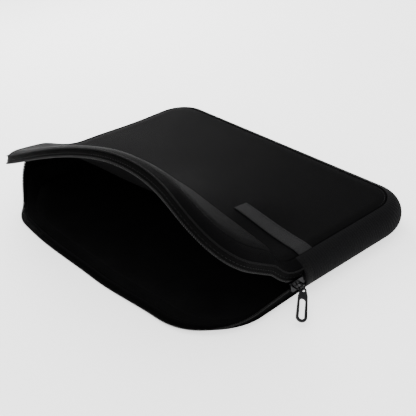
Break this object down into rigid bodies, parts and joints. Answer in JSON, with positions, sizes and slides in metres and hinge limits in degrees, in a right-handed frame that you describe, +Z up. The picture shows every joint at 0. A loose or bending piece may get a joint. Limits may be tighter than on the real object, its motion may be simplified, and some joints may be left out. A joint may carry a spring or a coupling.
{
  "type": "laptop sleeve",
  "caption": "Padded fabric laptop sleeve lying flat, its zipped mouth open along one long side, with a slotted zip pull and a sewn label strap.",
  "frame": {"origin": "centre of the flat underside, at its outer face", "axes": "+X along the long side, to the right as seen from the mouth; the mouth faces -Y; +Z up out of the top panel"},
  "size_m": [0.3929, 0.2641, 0.126],
  "materials": {
    "outer_fabric": "smooth matt woven polyester with a soft sheen",
    "ribbed_knit": "ribbed black knit",
    "lining": "black brushed lining",
    "foam": "black closed-cell foam, hidden",
    "zip_tape": "black woven zip tape",
    "zip_coil": "black nylon coil",
    "binding": "black binding cord and tab",
    "label_webbing": "dark grey woven webbing, plain",
    "black_nickel": "glossy black nickel"
  },
  "bodies": {
    "shell": {"bottom_cover": "outer_fabric", "bottom_foam": "foam", "bottom_lining": "lining", "top_rear_cover": "outer_fabric", "top_rear_foam": "foam", "top_rear_lining": "lining", "gusset_cover": "ribbed_knit", "lower_wall_cover": "outer_fabric", "gusset_foam": "foam", "lower_wall_foam": "foam", "gusset_lining": "lining", "lower_wall_lining": "lining", "lower_zip_tape": "zip_tape", "lower_zip_coil": "zip_coil", "lower_lip_bead": "binding", "zip_end_tab_right": "binding", "zip_stop_right": "black_nickel", "zip_end_tab_left": "binding", "zip_stop_left": "black_nickel", "label_strap": "label_webbing"},
    "flap": {"flap_cover": "outer_fabric", "flap_foam": "foam", "flap_lining": "lining", "upper_wall_cover": "outer_fabric", "upper_wall_foam": "foam", "upper_wall_lining": "lining", "upper_zip_tape": "zip_tape", "upper_zip_coil": "zip_coil", "upper_lip_bead": "binding"},
    "slider": {"slider_body": "black_nickel"},
    "link": {"pull_link": "black_nickel"},
    "pull": {"pull_tab": "black_nickel"}
  },
  "joints": [
    {"name": "mouth_open", "type": "hinge", "parent": "shell", "child": "flap", "pos_m": [0, -0.009, 0.034], "axis": [-1, 0, 0], "range_deg": [-52, 20]},
    {"name": "slider_travel", "type": "slide", "parent": "shell", "child": "slider", "axis": [0, -1, 0], "range_m": [0, 0.04]},
    {"name": "link_swing", "type": "hinge", "parent": "slider", "child": "link", "pos_m": [0.18635, -0.0194, 0.017], "axis": [0, -1, 0], "range_deg": [0, 105]},
    {"name": "pull_turn", "type": "hinge", "parent": "link", "child": "pull", "pos_m": [0.18917, -0.0194, 0.01548], "axis": [0.4759, 0, 0.8795], "range_deg": [-25, 115]}
  ]
}
